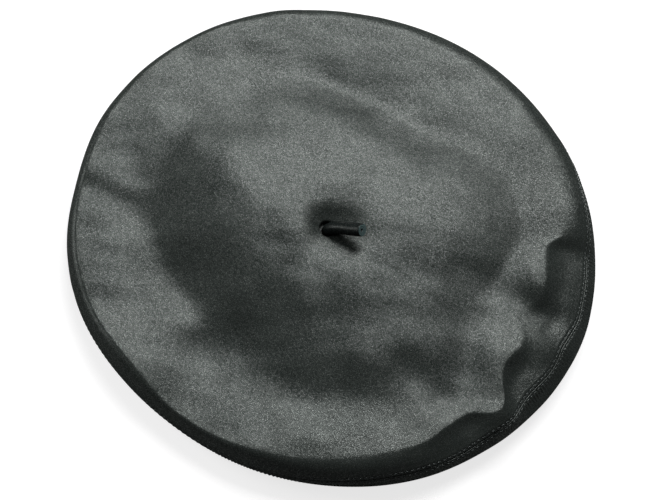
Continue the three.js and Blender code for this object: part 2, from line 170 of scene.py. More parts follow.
@dataclass(frozen=True)
class BeretForm:
    """The soft shape of the beret, in millimetres, worked out for any angle and place."""

    crown_height: float = 31.0
    dent_fall: float = 2.0
    dent_start: float = 0.12
    under_roll: float = 17.0
    opening_radius: float = 91.5
    stalk_foot: Pair = (-5.5, -5.0)
    stalk_hole: float = 5.6
    fold_samples: int = 32
    swells: int = 40
    swell_slope: float = 0.012
    swell_lengths: Pair = (11.0, 48.0)
    swell_gain: float = 4.0
    swell_seed: int = 11
    least_steep: float = 0.02

    def section(self, degrees: Array) -> dict[str, Array]:
        """Reads the section table at each angle, along a smooth periodic curve.

        Args:
            degrees: The angles.

        Returns:
            One array for each column of the table.
        """
        table = np.array(SECTIONS, float)
        at = table[:, 0]
        angle = np.mod(degrees, 360.0)
        start = np.mod(np.searchsorted(at, angle, side="right") - 1, len(at))
        before, end, after = (np.mod(start + step, len(at)) for step in (-1, 1, 2))
        span = np.mod(at[end] - at[start], 360.0)
        span_before = np.mod(at[start] - at[before], 360.0)
        span_after = np.mod(at[after] - at[end], 360.0)
        t = np.mod(angle - at[start], 360.0) / span
        found = {}
        for column, name in enumerate(SECTION_COLUMNS[1:], start=1):
            values = table[:, column]
            slope_in = (values[end] - values[before]) / (span_before + span) * span
            slope_out = (values[after] - values[start]) / (span + span_after) * span
            cubic = 2 * t**3 - 3 * t**2
            found[name] = (
                (cubic + 1) * values[start]
                + (t**3 - 2 * t**2 + t) * slope_in
                - cubic * values[end]
                + (t**3 - t**2) * slope_out
            )
        return found

    def crown_line(self, section: dict[str, Array], radius: Array) -> Array:
        """Works out the line of dome, valley and the rim's inner slope.

        Args:
            section: The section at each angle.
            radius: The radii, out to the crest.

        Returns:
            The heights.
        """
        dome = mix(self.crown_height, section["valley_z"], (radius / section["valley"]) ** section["fill"])
        climb = np.minimum((radius - section["valley"]) / (section["crest"] - section["valley"]), 1.0)
        slope = mix(section["valley_z"], section["crest_z"], 1 - (1 - climb) ** section["puff"])
        return (dome + slope + np.hypot(dome - slope, section["soft"])) / 2

    def roll(self, section: dict[str, Array], turn: Array) -> tuple[Array, Array]:
        """Works out the rim's roll.

        Args:
            section: The section at each angle.
            turn: The turns, from the crest at 90 degrees to the table at -90.

        Returns:
            The radii and the heights.
        """
        turn = np.radians(turn)
        rise = self.crown_line(section, section["crest"]) - section["reach_z"]
        over = turn >= 0
        above = section["crest"] + (section["reach"] - section["crest"]) * np.cos(turn)
        below = section["reach"] - self.under_roll * (1 - np.cos(turn))
        high = section["reach_z"] + rise * np.clip(np.sin(turn), 0.0, 1.0) ** section["slack"]
        low = section["reach_z"] * (1 + np.sin(turn))
        return np.where(over, above, below), np.where(over, high, low)

    def seam_turn(self, section: dict[str, Array], distance: Array | float) -> Array:
        """Finds the place on the roll at a distance from the seam.

        Args:
            section: The section at each angle.
            distance: Millimetres up from the seam.

        Returns:
            The turns in degrees.
        """
        seam = np.radians(section["seam"])
        rise = section["crest_z"] - section["reach_z"]
        across = np.where(seam >= 0, section["reach"] - section["crest"], self.under_roll)
        steep = section["slack"] * np.clip(np.sin(seam), self.least_steep, 1.0) ** (section["slack"] - 1)
        upward = np.where(seam >= 0, rise * steep, section["reach_z"])
        pace = np.hypot(across * np.sin(seam), upward * np.cos(seam))
        return section["seam"] + np.degrees(distance / pace)

    def hollow(self, section: dict[str, Array], turn: Array) -> Array:
        """Works out the dents of the rim between its crest and its seam.

        Args:
            section: The section at each angle.
            turn: The turns on the roll.

        Returns:
            The depths.
        """
        across = np.clip((90.0 - turn) / (90.0 - section["seam"]), 0.0, 1.0)
        deepest = 1 / (1 + self.dent_fall)
        full = deepest * (1 - deepest) ** self.dent_fall
        start = 1 - np.exp(-across / self.dent_start)
        return section["dent"] * start * across * (1 - across) ** self.dent_fall / full

    def fold_depth(self, x: Array, y: Array) -> Array:
        """Adds up the folds at each place.

        Args:
            x: The places along X.
            y: The places along Y.

        Returns:
            The depths.
        """
        total = np.zeros_like(x)
        for fold in FOLDS:
            ends = np.array(fold.path, float).reshape(3, 2)
            nearest = np.full(x.shape, np.inf)
            side = np.zeros_like(x)
            share = np.zeros_like(x)
            for t in np.linspace(0.0, 1.0, self.fold_samples):
                point = (1 - t) ** 2 * ends[0] + 2 * t * (1 - t) * ends[1] + t**2 * ends[2]
                tangent = 2 * (1 - t) * (ends[1] - ends[0]) + 2 * t * (ends[2] - ends[1])
                tangent = tangent / max(np.hypot(*tangent), TINY)
                distance = np.hypot(x - point[0], y - point[1])
                closer = distance < nearest
                nearest = np.where(closer, distance, nearest)
                side = np.where(closer, tangent[0] * (y - point[1]) - tangent[1] * (x - point[0]), side)
                share = np.where(closer, t, share)
            width = mix(fold.right, fold.left, 0.5 + 0.5 * side / np.maximum(nearest, TINY))
            total += mix(fold.depth[0], fold.depth[1], share) * np.exp(-((nearest / width) ** 2))
        return total

    def swell(self, x: Array, y: Array) -> Array:
        """Adds up seeded waves to the small uneven swells of soft leather.

        Args:
            x: The places along X.
            y: The places along Y.

        Returns:
            The depths.
        """
        draw = np.random.RandomState(self.swell_seed)
        total = np.zeros_like(x)
        for _ in range(self.swells):
            length = draw.uniform(*self.swell_lengths)
            way = draw.uniform(0, FULL_TURN)
            phase = draw.uniform(0, FULL_TURN)
            height = self.swell_gain * self.swell_slope * length / FULL_TURN * math.sqrt(2 / self.swells)
            along = x * math.cos(way) + y * math.sin(way)
            total += height * np.sin(along * FULL_TURN / length + phase)
        return total

    def placed(
        self, degrees: Array, radius: Array, height: Array, shift: Array | float, up: Array | float
    ) -> Array:
        """Places radii and heights at their angles.

        Args:
            degrees: The angles.
            radius: The radii.
            height: The heights before the folds sink them.
            shift: How far the circle's centre has moved to the stalk's foot, from 0 to 1.
            up: How far the surface faces up, which is how much of the folds it takes.

        Returns:
            The points.
        """
        angle = np.radians(degrees)
        x = radius * np.cos(angle) + self.stalk_foot[0] * shift
        y = radius * np.sin(angle) + self.stalk_foot[1] * shift
        return np.stack([x, y, height - (self.fold_depth(x, y) + self.swell(x, y)) * up], axis=-1)

    def crown(self, degrees: Array, shares: Array) -> Array:
        """Lays out the crown.

        Args:
            degrees: The angles.
            shares: The rows, from the stalk's hole at 0 to the crest at 1.

        Returns:
            A grid of points.
        """
        section = self.section(degrees)
        share = shares[:, None]
        radius = mix(self.stalk_hole, section["crest"], share)
        return self.placed(degrees, radius, self.crown_line(section, radius), 1 - share, 1.0)

    def rim(self, degrees: Array, turn: Array, top_side: bool) -> Array:
        """Lays out the rim's roll.

        Args:
            degrees: The angles.
            turn: The turn of each row, or of each row and angle.
            top_side: Whether the rows are the top panel's, which has the dents.

        Returns:
            A grid of points.
        """
        section = self.section(degrees)
        radius, height = self.roll(section, turn)
        if top_side:
            height = height - self.hollow(section, turn)
        return self.placed(degrees, radius, height, 0.0, np.clip(np.sin(np.radians(turn)), 0.0, 1.0))


@dataclass(frozen=True)
class SeamRelief:
    """How the leather stands round the topstitched seam, in millimetres."""

    stitch_offset: float = 1.5
    groove: float = 0.4
    groove_width: float = 0.4
    allowance: float = 0.22
    allowance_width: float = 3.4
    thread_line: float = 0.3
    thread_width: float = 0.5
    puckers: int = 470
    pucker_top: float = 0.07
    pucker_under: float = 0.28
    pucker_from: float = 1.4
    pucker_to: float = 6.0
    allowance_steep: float = 3.0
    pucker_steep: float = 5.0
    pucker_drift: tuple[Wave, ...] = ((2.2, 7, 0), (1.7, 19, 1), (1.1, 43, 2))
    pucker_strength: float = 0.6
    pucker_change: tuple[Wave, ...] = ((0.25, 11, 0.5), (0.25, 29, 2))

    def height(self, distance: Array, degrees: Array, pucker: float) -> Array:
        """Returns the relief at a distance from the seam.

        Args:
            distance: Millimetres from the seam.
            degrees: The angle round the rim.
            pucker: The height of the fine gathers on this side.

        Returns:
            Millimetres out from the surface.
        """
        groove = -self.groove * np.exp(-((distance / self.groove_width) ** 2))
        fold = self.allowance / (1 + np.exp(self.allowance_steep * (distance - self.allowance_width)))
        line = -self.thread_line * np.exp(-(((distance - self.stitch_offset) / self.thread_width) ** 2))
        angle = np.radians(degrees)
        phase = ripple(angle, self.pucker_drift)
        strength = self.pucker_strength + ripple(angle, self.pucker_change)
        start = 1 / (1 + np.exp(self.pucker_steep * (self.pucker_from - distance)))
        fade = np.exp(-((distance / self.pucker_to) ** 4))
        gathers = pucker * strength * start * fade * np.sin(self.puckers * angle + phase)
        return groove + fold + line + gathers

    def laid_on(self, rows: Array, normals: Array, distance: Array, degrees: Array, pucker: float) -> Array:
        """Returns rows of points with the relief on them, given each row's distance from the seam."""
        return rows + normals * self.height(distance[:, None], degrees, pucker)[..., None]


def grid_normals(points: Array) -> Array:
    """Finds the way that each point of a grid faces.

    Args:
        points: The grid, whose rows run outward and whose columns run round.

    Returns:
        The outward normals.
    """
    along = np.gradient(points, axis=0)
    around = np.roll(points, -1, axis=1) - np.roll(points, 1, axis=1)
    normal = np.cross(along, around)
    return normal / np.maximum(np.linalg.norm(normal, axis=-1, keepdims=True), TINY)


def grid_quads(rows: int, columns: int, start: int, flip: bool) -> list[Face]:
    """Lists the faces of a grid that closes round its columns.

    Args:
        rows: The number of rows.
        columns: The number of columns.
        start: The first point's number.
        flip: Whether the faces look the other way.

    Returns:
        The faces.
    """
    faces = []
    for row in range(rows - 1):
        here = start + row * columns
        beyond = here + columns
        for column in range(columns):
            after = (column + 1) % columns
            face = (here + column, beyond + column, beyond + after, here + after)
            faces.append(face[::-1] if flip else face)
    return faces


def rim_faces(fine: range, coarse: range, flip: bool) -> list[Face]:
    """Joins a fine closed ring of points to a coarse one.

    Args:
        fine: The fine ring's points.
        coarse: The coarse ring's, a whole fraction of them.
        flip: Whether the faces look the other way.

    Returns:
        The faces.
    """
    ratio = len(fine) // len(coarse)
    faces = []
    for step, here in enumerate(coarse):
        beyond = coarse[(step + 1) % len(coarse)]
        for part in range(ratio):
            first = fine[step * ratio + part]
            second = fine[(step * ratio + part + 1) % len(fine)]
            faces.append((first, second, here))
        faces.append((fine[(step + 1) * ratio % len(fine)], beyond, here))
    return [face[::-1] for face in faces] if flip else faces


def in_scene(name: str, data: bpy.types.ID) -> bpy.types.Object:
    """Makes an object and links it into the scene.

    Args:
        name: The object's name.
        data: Its mesh, lamp or lens.

    Returns:
        The object.
    """
    made = bpy.data.objects.new(name, data)
    bpy.context.scene.collection.objects.link(made)
    return made


def mesh_of(name: str, points: Array, faces: list[Face]) -> Mesh:
    """Makes a mesh.

    Args:
        name: The mesh's name.
        points: Its points in millimetres.
        faces: Its faces.

    Returns:
        The mesh.
    """
    mesh = bpy.data.meshes.new(name)
    mesh.from_pydata((points.reshape(-1, 3) * MM).tolist(), [], faces)
    return mesh


def as_piece(
    mesh: Mesh, materials: tuple[Material, ...], flesh: slice = slice(0)
) -> bpy.types.Object:
    """Links a mesh as a smooth piece that rides on the beret's body.

    Args:
        mesh: The mesh, whose name the piece takes.
        materials: Its materials, in the order of Side.
        flesh: The faces that belong to the flesh side.

    Returns:
        The piece.
    """
    count = len(mesh.polygons)
    for material in materials:
        mesh.materials.append(material)
    sides = np.full(count, Side.GRAIN.value, dtype=np.int32)
    sides[flesh] = Side.FLESH.value
    mesh.polygons.foreach_set("material_index", sides)
    mesh.polygons.foreach_set("use_smooth", np.ones(count, dtype=bool))
    mesh.update()
    piece = in_scene(mesh.name, mesh)
    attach(piece, BODY)
    LOG.info("%s: %d faces", mesh.name, count)
    return piece


def leather_wall(
    name: str, outside: Array, inside: Array, materials: tuple[Material, ...]
) -> bpy.types.Object:
    """Makes a closed wall of leather from its grain side and its flesh side.

    Args:
        name: The piece's name.
        outside: A grid of points in millimetres, rows outward and columns round.
        inside: A coarser grid of the same form, whose columns are a whole fraction of the outside's.
        materials: The materials of the two sides.

    Returns:
        The piece.
    """
    rows, columns = outside.shape[:2]
    inner_rows, inner_columns = inside.shape[:2]
    start = rows * columns
    end = start + inner_rows * inner_columns
    faces = grid_quads(rows, columns, 0, False)
    faces += rim_faces(range(columns), range(start, start + inner_columns), False)
    faces += rim_faces(range(start - columns, start), range(end - inner_columns, end), True)
    grain = len(faces)
    faces += grid_quads(inner_rows, inner_columns, start, True)
    points = np.concatenate([outside.reshape(-1, 3), inside.reshape(-1, 3)])
    return as_piece(mesh_of(name, points, faces), materials, slice(grain, None))


class NodeTree:
    """A short hand for laying out shader nodes in a tree."""

    def __init__(self, tree: bpy.types.NodeTree) -> None:
        """Keeps the tree and empties it."""
        self.tree = tree
        tree.nodes.clear()

    def add(self, kind: str, values: dict | None = None, **settings: object) -> Node:
        """Adds a node.

        Args:
            kind: The node's type, without the ShaderNode that it starts with.
            values: Numbers, colours or sockets for its inputs, by name or index.
            **settings: The node's own properties.

        Returns:
            The node.
        """
        node = self.tree.nodes.new(kind if kind.startswith("Node") else "ShaderNode" + kind)
        for key, value in settings.items():
            setattr(node, key, value)
        self.fill(node, values or {})
        return node

    def fill(self, node: Node, values: dict) -> None:
        """Fills a node's inputs.

        Args:
            node: The node.
            values: Numbers, colours or sockets, by name or index.
        """
        for key, value in values.items():
            if isinstance(value, Socket):
                self.tree.links.new(value, node.inputs[key])
            else:
                node.inputs[key].default_value = value

    def maths(
        self, operation: str, first: object, second: object = 0.0, clamp: bool = False
    ) -> Socket:
        """Adds a maths node and returns what it puts out."""
        return self.add("Math", {0: first, 1: second}, operation=operation, use_clamp=clamp).outputs[0]

    def times(self, first: object, second: object) -> Socket:
        """Multiplies two values and returns what the node puts out."""
        return self.maths("MULTIPLY", first, second)

    def scaled(self, vector: object, size: object) -> Socket:
        """Scales a vector and returns what the node puts out."""
        return self.add("VectorMath", {0: vector, 3: size}, operation="SCALE").outputs[0]

    def millimetres(self) -> Socket:
        """Returns the place on the piece in millimetres."""
        return self.scaled(self.add("TexCoord").outputs["Object"], 1 / MM)

    def blend(self, share: object, first: Colour | object, second: Colour | object) -> Socket:
        """Adds a colour mix.

        Args:
            share: How much of the second colour there is.
            first: The first colour.
            second: The second colour.

        Returns:
            What it puts out.
        """
        node = self.add("Mix", data_type="RGBA")
        first, second = ((*side, 1.0) if isinstance(side, tuple) else side for side in (first, second))
        self.fill(node, {0: share, 6: first, 7: second})
        return node.outputs[2]

    def spread(self, value: object, low: float, high: float, to_low: float, to_high: float) -> Socket:
        """Maps a value from one range to another, held within it, and returns what it puts out."""
        return self.add("MapRange", {0: value, 1: low, 2: high, 3: to_low, 4: to_high}, clamp=True).outputs[0]

    def bump(self, height: Socket, strength: float = 1.0) -> Socket:
        """Returns the normal of a relief whose height is in millimetres."""
        values = {"Height": self.times(height, MM), "Strength": strength, "Distance": 1.0}
        return self.add("Bump", values).outputs[0]

    def surface(self, values: dict) -> None:
        """Ends a material with its one surface."""
        self.add("OutputMaterial", {0: self.add("BsdfPrincipled", values).outputs[0]})


def new_material(name: str) -> tuple[Material, NodeTree]:
    """Makes an empty material.

    Args:
        name: The material's name.

    Returns:
        The material and a short hand for its nodes.
    """
    material = bpy.data.materials.new(name)
    material.use_nodes = True
    return material, NodeTree(material.node_tree)


def node_group(name: str, inputs: dict[str, str], outputs: tuple[str, ...]) -> tuple[NodeTree, Node, Node]:
    """Makes an empty shader node group.

    Args:
        name: The group's name.
        inputs: The kind of each input by its name.
        outputs: The names of the outputs, which are all numbers.

    Returns:
        A short hand for its nodes, its input node and its output node.
    """
    group = bpy.data.node_groups.new(name, "ShaderNodeTree")
    for label, kind in inputs.items():
        group.interface.new_socket(name=label, in_out="INPUT", socket_type="NodeSocket" + kind)
    for label in outputs:
        group.interface.new_socket(name=label, in_out="OUTPUT", socket_type="NodeSocketFloat")
    nodes = NodeTree(group)
    return nodes, nodes.add("NodeGroupInput"), nodes.add("NodeGroupOutput")


def grain_group() -> Shader:
    """Makes the pebbled grain of fine leather.

    Returns:
        The group, which puts out its height in millimetres, its furrows and its shine.
    """
    inputs = {"Place": "Vector", "Pebble": "Float", "Depth": "Float", "Crease": "Float"}
    nodes, entry, leave = node_group("pebbled grain", inputs, ("Height", "Furrow", "Shine"))
    place = nodes.scaled(entry.outputs["Place"], nodes.maths("DIVIDE", 1.0, entry.outputs["Pebble"]))
    bend = nodes.add("TexNoise", {"Vector": place, "Scale": 0.5, "Detail": 1.0}).outputs["Color"]
    bent = nodes.add("VectorMath", {0: place, 1: nodes.scaled(bend, 0.5)}, operation="ADD").outputs[0]

    # One pebble to each cell: a dome that falls to its furrows, and one random number that sets it apart.
    edges = nodes.add("TexVoronoi", {"Vector": bent, "Scale": 1.0}, feature="DISTANCE_TO_EDGE")
    dome = nodes.spread(edges.outputs["Distance"], 0.0, 0.3, 0.0, 1.0)
    cells = nodes.add("TexVoronoi", {"Vector": bent, "Scale": 1.0}, feature="F1")
    uneven = nodes.add("SeparateColor", {"Color": cells.outputs["Color"]}).outputs[0]
    tall = nodes.times(dome, nodes.spread(uneven, 0.0, 1.0, 0.6, 1.2))
    fine = nodes.add("TexNoise", {"Vector": place, "Scale": 2.2, "Detail": 2.0, "Roughness": 0.6})
    raised = nodes.maths("ADD", nodes.times(tall, 0.8), nodes.times(fine.outputs["Fac"], 0.2))
    patches = nodes.add("TexNoise", {"Vector": place, "Scale": 0.12, "Detail": 3.0}).outputs["Fac"]
    depth = nodes.times(entry.outputs["Depth"], nodes.spread(patches, 0.3, 0.7, 0.8, 1.2))

    # Long, thin cells for the fine creases that the leather has from being folded.
    stretched = nodes.add("Mapping", {"Vector": bent, "Rotation": (0, 0, 0.55), "Scale": (0.14, 0.6, 0.5)})
    lines = {"Vector": stretched.outputs[0], "Scale": 1.0}
    folds = nodes.add("TexVoronoi", lines, feature="DISTANCE_TO_EDGE").outputs["Distance"]
    crease = nodes.spread(folds, 0.0, 0.16, 0.0, 1.0)

    height = nodes.maths("ADD", nodes.times(raised, depth), nodes.times(crease, entry.outputs["Crease"]))
    furrow = nodes.maths("SUBTRACT", 1.0, dome, clamp=True)
    polish = nodes.times(nodes.spread(dome, 0.0, 1.0, 0.1, 1.25), nodes.spread(uneven, 0.0, 1.0, 0.6, 1.5))
    nodes.fill(leave, {"Height": height, "Furrow": furrow, "Shine": polish})
    return nodes.tree


def mottle_group() -> Shader:
    """Makes the soft, cloudy unevenness of dyed leather.

    Returns:
        The group, which puts out 0 to 1.
    """
    nodes, entry, leave = node_group("dye clouds", {"Place": "Vector"}, ("Cloud",))
    place = entry.outputs["Place"]
    wide = nodes.add("TexNoise", {"Vector": place, "Scale": 0.045, "Detail": 3.0})
    close = nodes.add("TexNoise", {"Vector": place, "Scale": 0.35, "Detail": 4.0, "Roughness": 0.65})
    both = nodes.maths("ADD", nodes.times(wide.outputs["Fac"], 0.65), nodes.times(close.outputs["Fac"], 0.35))
    nodes.fill(leave, {"Cloud": nodes.spread(both, 0.35, 0.65, 0.0, 1.0)})
    return nodes.tree


@dataclass(frozen=True)
class LeatherFinish:
    """A dyed leather: its colours, its grain in millimetres and its polish, a thin coat worn by the grain."""

    name: str
    dark: Colour
    light: Colour
    roughness: Pair
    pebble: float
    depth: float
    crease: float
    polish: float = 0.575
    polish_ior: float = 1.8
    under_polish: float = 0.0
    sheen: float = 0.0
    sheen_roughness: float = 0.5
    creased_at: tuple[float, float, float] | None = None
    creased_reach: Pair = (21.0, 60.0)
    uncreased: float = 0.25
    furrow_share: float = 0.3
    # How dark the furrows are painted: painted shade in the recesses between the pebbles.
    furrow_painted_shade: float = 0.25
    furrow_rough: float = 0.05

    def crease_depth(self, nodes: NodeTree, place: Socket) -> Socket | float:
        """Lets the fine creases fade away from where the leather was folded.

        Args:
            nodes: The material's nodes.
            place: The place in millimetres.

        Returns:
            How deep the creases are.
        """
        if not self.creased_at:
            return self.crease
        values = {0: place, 1: self.creased_at}
        apart = nodes.add("VectorMath", values, operation="DISTANCE").outputs["Value"]
        return nodes.times(nodes.spread(apart, *self.creased_reach, 1.0, self.uncreased), self.crease)

    def material(self, grain: Shader, clouds: Shader) -> Material:
        """Makes the material.

        Args:
            grain: The pebbled grain group.
            clouds: The dye clouds group.

        Returns:
            The material.
        """
        material, nodes = new_material(self.name)
        place = nodes.millimetres()
        crease = self.crease_depth(nodes, place)
        values = {"Place": place, "Pebble": self.pebble, "Depth": self.depth, "Crease": crease}
        pebbles = nodes.add("Group", values, node_tree=grain)
        cloud = nodes.add("Group", {"Place": place}, node_tree=clouds).outputs["Cloud"]
        furrow = pebbles.outputs["Furrow"]
        dyed = nodes.blend(cloud, self.dark, self.light)
        # The furrows are blended towards a darker copy of the dye: painted shade in the grain's recesses.
        painted_shade = tuple(part * self.furrow_painted_shade for part in self.dark)
        gloss = nodes.spread(cloud, 0.0, 1.0, *self.roughness)
        normal = nodes.bump(pebbles.outputs["Height"])
        surface = {
            "Base Color": nodes.blend(nodes.times(furrow, self.furrow_share), dyed, painted_shade),
            "Roughness": nodes.maths("ADD", gloss, nodes.times(furrow, self.furrow_rough)),
            "Specular IOR Level": self.under_polish,
            "Coat Weight": nodes.times(pebbles.outputs["Shine"], self.polish),
            "Coat Roughness": sum(self.roughness) / 2 + self.furrow_rough / 2,
            "Coat IOR": self.polish_ior,
            "Sheen Weight": self.sheen,
            "Sheen Roughness": self.sheen_roughness,
            "Normal": normal,
            "Coat Normal": normal,
        }
        nodes.surface(surface)
        return material


@dataclass(frozen=True)
class ThreadFinish:
    """A glossy twisted sewing thread."""

    name: str = "black thread"
    colour: Colour = (0.045, 0.05, 0.052)
    roughness: float = 0.22
    twist: float = 0.5
    strand_depth: float = 0.05
    # How dark the thread is painted between its strands: painted shade in the grooves of the twist.
    painted_shade_between_strands: float = 0.5

    def material(self) -> Material:
        """Makes the material, whose strands are fine twisted ridges.

        Returns:
            The material.
        """
        material, nodes = new_material(self.name)
        wave = {"Vector": nodes.millimetres(), "Scale": 1.6, "Distortion": 1.0}
        strands = nodes.add("TexWave", wave, bands_direction="DIAGONAL").outputs["Fac"]
        # Darker between the twisted strands: painted shade in the grooves of the thread.
        painted_shade = tuple(part * self.painted_shade_between_strands for part in self.colour)
        surface = {
            "Base Color": nodes.blend(strands, painted_shade, self.colour),
            "Roughness": self.roughness,
            "Normal": nodes.bump(nodes.times(strands, self.strand_depth), self.twist),
        }
        nodes.surface(surface)
        return material


CROWN_LEATHER = LeatherFinish(
    name="crown leather",
    dark=(0.018, 0.021, 0.0198),
    light=(0.025, 0.029, 0.0272),
    roughness=(0.31, 0.345),
    pebble=0.7,
    depth=0.045,
    crease=0.05,
    creased_at=(80.0, 40.0, 20.0),
)
FLESH_SIDE = LeatherFinish(
    name="flesh side",
    dark=(0.02, 0.021, 0.021),
    light=(0.034, 0.035, 0.035),
    roughness=(0.85, 0.95),
    pebble=0.5,
    depth=0.05,
    crease=0.0,
    polish=0.2,
    sheen=0.25,
)
BAND_LEATHER = LeatherFinish(
    name="band leather",
    dark=(0.011, 0.012, 0.0115),
    light=(0.018, 0.019, 0.0185),
    roughness=(0.48, 0.58),
    pebble=0.6,
    depth=0.025,
    crease=0.02,
)
ROLLED_LEATHER = LeatherFinish(
    name="rolled leather",
    dark=(0.005, 0.0065, 0.0065),
    light=(0.008, 0.0105, 0.0105),
    roughness=(0.34, 0.42),
    pebble=0.6,
    depth=0.018,
    crease=0.0,
    polish=0.37,
)
RAW_EDGE = LeatherFinish(
    name="raw cut edge",
    dark=(0.03, 0.052, 0.055),
    light=(0.1, 0.145, 0.15),
    roughness=(0.7, 0.85),
    pebble=0.35,
    depth=0.06,
    crease=0.0,
    polish=0.3,
)


class Finishes:
    """The materials of each kind of piece, each made once, in the order of Side."""

    def __init__(self) -> None:
        """Builds the shared groups and the materials."""
        groups = (grain_group(), mottle_group())
        self.panel = (CROWN_LEATHER.material(*groups), FLESH_SIDE.material(*groups))
        self.band = (BAND_LEATHER.material(*groups),)
        self.stalk = (ROLLED_LEATHER.material(*groups), RAW_EDGE.material(*groups))
        self.thread = (ThreadFinish().material(),)


@dataclass
class TopPanel:
    """The crown: one disc of leather from the stalk's hole over the rim to the seam."""

    form: BeretForm
    relief: SeamRelief
    columns: int = 512
    inner_columns: int = 128
    hole_rows: int = 26
    hole_share: float = 0.13
    crown_rows: int = 92
    roll_rows: int = 22
    seam_rows: tuple[float, ...] = (4.2, 3.6, 3.1, 2.6, 2.2, 1.9, 1.6, 1.3, 1.0, 0.7, 0.4, 0.15)
    inner_crown_rows: int = 30
    inner_roll_rows: int = 8
    lip: tuple[Pair, ...] = ((0.78, 2.3), (0.79, 1.3), (0.83, 0.6), (0.9, 0.2))
    pinches: tuple[Wave, ...] = ((1.0, 9, 0.6), (0.5, 5, 2.0))
    pinch_height: float = 0.1
    pinch_reach: float = 11.0

    def outside(self) -> Array:
        """Lays out the grain side.

        Returns:
            A grid of points.
        """
        degrees = round_steps(self.columns)
        near = np.linspace(0.0, self.hole_share, self.hole_rows)
        far = np.linspace(self.hole_share, 1.0, self.crown_rows)[1:]
        shares = np.concatenate([near, far])
        crown = self.form.crown(degrees, shares)
        crown[..., 2] += self.pinch(crown[..., 0], crown[..., 1])
        section = self.form.section(degrees)
        last = self.form.seam_turn(section, self.seam_rows[0])
        across = np.linspace(0.0, 1.0, self.roll_rows)[1:-1]
        turns = [mix(90.0, last, share) for share in across]
        turns += [self.form.seam_turn(section, distance) for distance in self.seam_rows]
        turn = np.stack(turns)
        roll = self.form.rim(degrees, turn, True)
        distance = np.array([FAR_FROM_SEAM] * len(across) + list(self.seam_rows))
        normal = grid_normals(np.concatenate([crown[-2:], roll]))[2:]
        roll = self.relief.laid_on(roll, normal, distance, degrees, self.relief.pucker_top)
        foot = np.array([*self.form.stalk_foot, 0.0])
        lip = [(crown[0] - foot) * (scale, scale, 1.0) + foot - (0.0, 0.0, drop) for scale, drop in self.lip]
        return np.concatenate([np.stack(lip), crown, roll])

    def pinch(self, x: Array, y: Array) -> Array:
        """Works out the small gathers where the leather is drawn in round the stalk.

        Args:
            x: The places along X.
            y: The places along Y.

        Returns:
            The heights.
        """
        across = x - self.form.stalk_foot[0]
        along = y - self.form.stalk_foot[1]
        waves = ripple(np.arctan2(along, across), self.pinches)
        return self.pinch_height * waves * np.exp(-((np.hypot(across, along) / self.pinch_reach) ** 2))

    def inside(self) -> Array:
        """Lays out the flesh side, one thickness in.

        Returns:
            A coarser grid of points.
        """
        degrees = round_steps(self.inner_columns)
        shares = np.linspace(0.0, 1.0, self.inner_crown_rows)
        crown = self.form.crown(degrees, shares)
        section = self.form.section(degrees)
        last = self.form.seam_turn(section, self.seam_rows[-1])
        across = np.linspace(0.0, 1.0, self.inner_roll_rows)[1:]
        turn = np.stack([mix(90.0, last, share) for share in across])
        roll = self.form.rim(degrees, turn, True)
        points = np.concatenate([crown, roll])
        return points - grid_normals(points) * WALL

    def build(self, finishes: Finishes) -> None:
        """Builds and dresses the panel.

        Args:
            finishes: The materials.
        """
        piece = leather_wall("crown_leather", self.outside(), self.inside(), finishes.panel)
        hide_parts("top_panel")


@dataclass
class UnderPanel:
    """The ring of leather from the seam round the rim and along the table to the head opening."""

    form: BeretForm
    relief: SeamRelief
    columns: int = 1800
    inner_columns: int = 150
    seam_rows: tuple[float, ...] = (0.15, 0.4, 0.7, 1.0, 1.3, 1.6, 1.9, 2.3, 2.8, 3.4, 4.1, 5.0, 6.0, 7.2)
    roll_rows: int = 15
    table_rows: int = 5
    inner_roll_rows: int = 10

    def outside(self) -> Array:
        """Lays out the grain side.

        Returns:
            A grid of points.
        """
        degrees = round_steps(self.columns)
        section = self.form.section(degrees)
        turns = [self.form.seam_turn(section, -distance) for distance in self.seam_rows]
        across = np.linspace(0.0, 1.0, self.roll_rows)[1:]
        turns += [mix(turns[-1], -90.0, share) for share in across]
        turn = np.stack(turns)
        roll = self.form.rim(degrees, turn, False)
        distance = np.array(list(self.seam_rows) + [FAR_FROM_SEAM] * len(across))
        roll = self.relief.laid_on(roll, grid_normals(roll), distance, degrees, self.relief.pucker_under)
        shares = np.linspace(0.0, 1.0, self.table_rows)[1:]
        return np.concatenate([roll, self.table(degrees, roll[-1], shares)])

    def table(self, degrees: Array, start: Array, shares: Array) -> Array:
        """Lays out the part that lies on the table.

        Args:
            degrees: The angles.
            start: The end of the roll.
            shares: The rows, up to the opening at 1.

        Returns:
            A grid of points.
        """
        angle = np.radians(degrees)
        round_edge = np.stack([np.cos(angle), np.sin(angle), np.zeros_like(angle)], axis=-1)
        edge = round_edge * self.form.opening_radius
        return np.stack([mix(start * (1.0, 1.0, 0.0), edge, share) for share in shares])

    def inside(self) -> Array:
        """Lays out the flesh side, one thickness in.

        Returns:
            A coarser grid of points.
        """
        degrees = round_steps(self.inner_columns)
        section = self.form.section(degrees)
        first = self.form.seam_turn(section, -self.seam_rows[0])
        turn = np.stack([mix(first, -90.0, share) for share in np.linspace(0.0, 1.0, self.inner_roll_rows)])
        roll = self.form.rim(degrees, turn, False)
        points = np.concatenate([roll, self.table(degrees, roll[-1], np.array([0.5, 1.0]))])
        return points - grid_normals(points) * WALL

    def build(self, finishes: Finishes) -> None:
        """Builds and dresses the panel.

        Args:
            finishes: The materials.
        """
        piece = leather_wall("under_leather", self.outside(), self.inside(), finishes.panel)
        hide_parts("under_panel")


